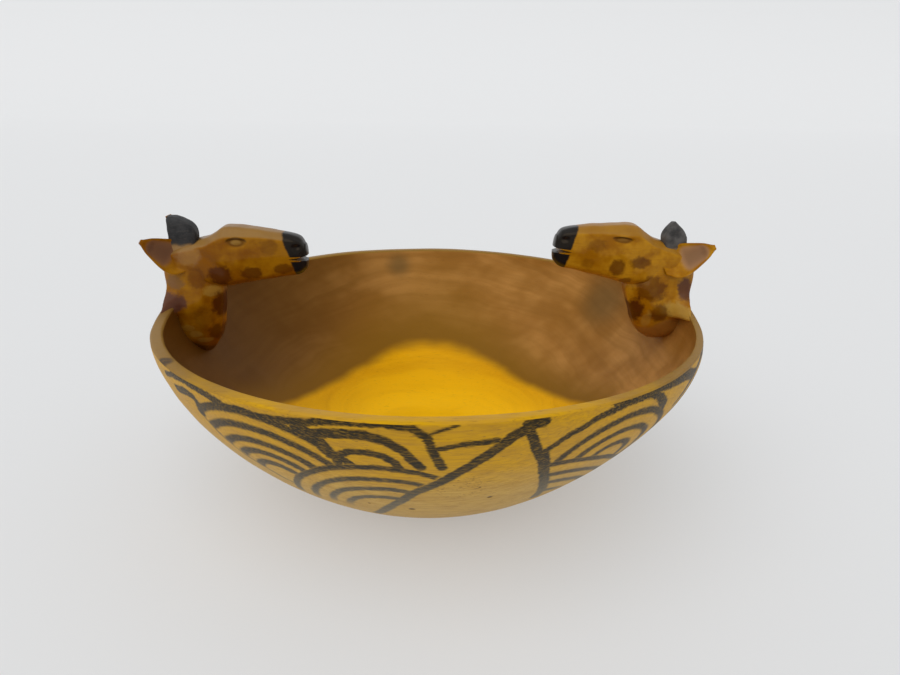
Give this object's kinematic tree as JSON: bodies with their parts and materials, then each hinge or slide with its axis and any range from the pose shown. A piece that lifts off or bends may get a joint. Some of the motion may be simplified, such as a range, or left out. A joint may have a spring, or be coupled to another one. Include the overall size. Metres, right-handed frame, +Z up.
{
  "type": "carved wooden bowl",
  "caption": "Shallow round wooden bowl, stained inside and drawn with dark arcs outside, with giraffe heads rising from opposite ends of its rim.",
  "frame": {"origin": "centre of the flat underside of the bowl", "axes": "+Z up out of the bowl's mouth; +X from the bowl's centre toward the right giraffe, so the two heads lie along X; -Y is the front"},
  "size_m": [0.198, 0.19, 0.0958],
  "materials": {
    "bowl_wood": "satin",
    "giraffe_wood": "semi-gloss varnish",
    "horn_wood": "matte black stain"
  },
  "bodies": {
    "root": {"bowl": "bowl_wood", "left_neck": "giraffe_wood", "left_head": "giraffe_wood", "left_front_ear": "giraffe_wood", "left_back_ear": "giraffe_wood", "left_front_horn": "horn_wood", "left_back_horn": "horn_wood", "right_neck": "giraffe_wood", "right_head": "giraffe_wood", "right_front_ear": "giraffe_wood", "right_back_ear": "giraffe_wood", "right_front_horn": "horn_wood", "right_back_horn": "horn_wood"}
  },
  "joints": []
}
